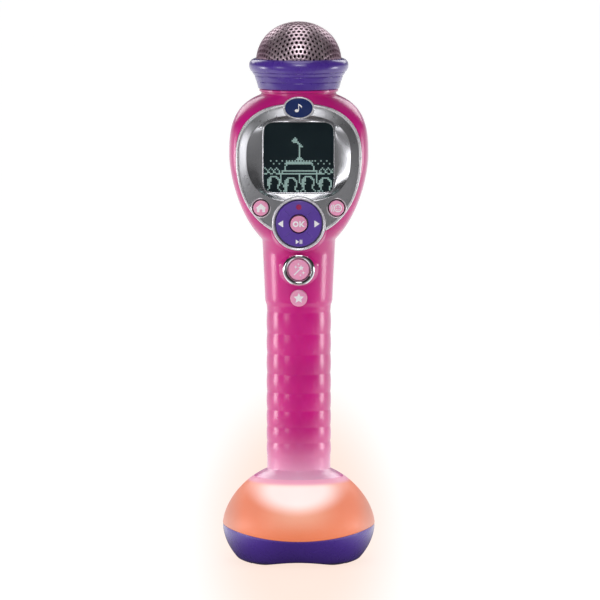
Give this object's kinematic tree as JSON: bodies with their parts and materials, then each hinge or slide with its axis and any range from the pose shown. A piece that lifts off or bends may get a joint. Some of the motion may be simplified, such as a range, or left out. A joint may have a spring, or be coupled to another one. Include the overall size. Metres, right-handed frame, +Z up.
{
  "type": "toy microphone",
  "caption": "Free-standing toy stage microphone with perforated dome grille, egg-shaped head with small screen and keypad, ribbed handle and translucent lit base.",
  "frame": {"origin": "centre of the bounding box on the floor, under the handle's axis", "axes": "+Z up along the handle, the screen and buttons face -Y, the battery door faces +Y"},
  "size_m": [0.0868, 0.0868, 0.3089],
  "materials": {
    "pink_shell": "glossy moulded plastic",
    "purple_shell": "glossy moulded plastic",
    "pale_pink_cap": "satin moulded cap with printed icon",
    "silver_paint": "silver paint over moulded plastic",
    "chrome_plating": "bright plating over moulded plastic",
    "grille_metal": "perforated sheet, satin",
    "foam": "open-cell foam",
    "black_rubber": "matte",
    "silicone": "soft silicone",
    "steel": "bright zinc",
    "badge_blue": "glossy printed oval",
    "clear_window": "clear acrylic window",
    "lcd_glass": "dark display glass",
    "white_plastic": "matte white",
    "black_plastic": "fine texture",
    "circuit_board": "solder resist",
    "speaker_frame": "stamped frame with paper cone",
    "cell_wrap": "printed cell sleeve, no marks",
    "glow_dome": "translucent frosted dome, lit from inside",
    "led_lens": "diffused lens"
  },
  "bodies": {
    "body": {"front_casing": "pink_shell", "rear_casing": "pink_shell", "collar": "purple_shell", "grille": "grille_metal", "grille_foam": "foam", "mic_holder": "black_rubber", "mic_capsule": "steel", "bezel": "silver_paint", "badge_rim": "silver_paint", "badge": "badge_blue", "screen_window": "clear_window", "lcd_panel": "lcd_glass", "lcd_frame": "white_plastic", "backlight": "white_plastic", "dpad_ring": "silver_paint", "wand_ring": "chrome_plating", "keypad_mat": "silicone", "handle_keypad_mat": "silicone", "main_board": "circuit_board", "handle_board": "circuit_board", "board_screws": "steel", "speaker": "speaker_frame", "speaker_gasket": "foam", "power_switch": "black_plastic", "battery_tray": "black_plastic", "batteries": "cell_wrap", "battery_springs": "steel", "battery_plates": "steel", "casing_screws": "steel", "foot_clamp": "black_plastic", "clamp_screws": "steel", "base_dome": "glow_dome", "base_cover": "purple_shell", "led_board": "circuit_board", "leds": "led_lens", "reflector": "white_plastic", "base_screws": "steel", "rubber_feet": "black_rubber"},
    "dpad_pivot": {"dpad_pivot": "black_plastic"},
    "dpad": {"dpad": "purple_shell"},
    "ok_button": {"ok_button": "pale_pink_cap"},
    "home_button": {"home_button": "pale_pink_cap"},
    "voice_button": {"voice_button": "pale_pink_cap"},
    "wand_button": {"wand_button": "pale_pink_cap"},
    "star_button": {"star_button": "pale_pink_cap"},
    "power_slider": {"power_slider": "black_plastic"},
    "battery_door": {"battery_door": "pink_shell", "door_screw": "steel"}
  },
  "joints": [
    {"name": "dpad_rock_vertical", "type": "hinge", "parent": "body", "child": "dpad_pivot", "pos_m": [0, -0.0201, 0.1956], "axis": [1, 0, 0], "range_deg": [-4, 4], "stiffness_Nm_per_rad": 0.17},
    {"name": "dpad_rock_sideways", "type": "hinge", "parent": "dpad_pivot", "child": "dpad", "pos_m": [0, -0.0201, 0.1956], "axis": [0, 0, 1], "range_deg": [-4, 4], "stiffness_Nm_per_rad": 0.17},
    {"name": "ok_button_press", "type": "slide", "parent": "body", "child": "ok_button", "axis": [0, 1, 0], "range_m": [0, 0.001], "stiffness_N_per_m": 400, "springref_m": -0.001},
    {"name": "home_button_press", "type": "slide", "parent": "body", "child": "home_button", "axis": [0, 1, 0], "range_m": [0, 0.001], "stiffness_N_per_m": 400, "springref_m": -0.001},
    {"name": "voice_button_press", "type": "slide", "parent": "body", "child": "voice_button", "axis": [0, 1, 0], "range_m": [0, 0.001], "stiffness_N_per_m": 400, "springref_m": -0.001},
    {"name": "wand_button_press", "type": "slide", "parent": "body", "child": "wand_button", "axis": [0, 1, 0], "range_m": [0, 0.001], "stiffness_N_per_m": 400, "springref_m": -0.001},
    {"name": "star_button_press", "type": "slide", "parent": "body", "child": "star_button", "axis": [0, 1, 0], "range_m": [0, 0.001], "stiffness_N_per_m": 400, "springref_m": -0.001},
    {"name": "power_slide", "type": "slide", "parent": "body", "child": "power_slider", "axis": [1, 0, 0], "range_m": [0, 0.004]},
    {"name": "battery_door_swing", "type": "hinge", "parent": "body", "child": "battery_door", "pos_m": [0, 0.0183, 0.0589], "axis": [-1, 0, 0], "range_deg": [0, 70]}
  ]
}
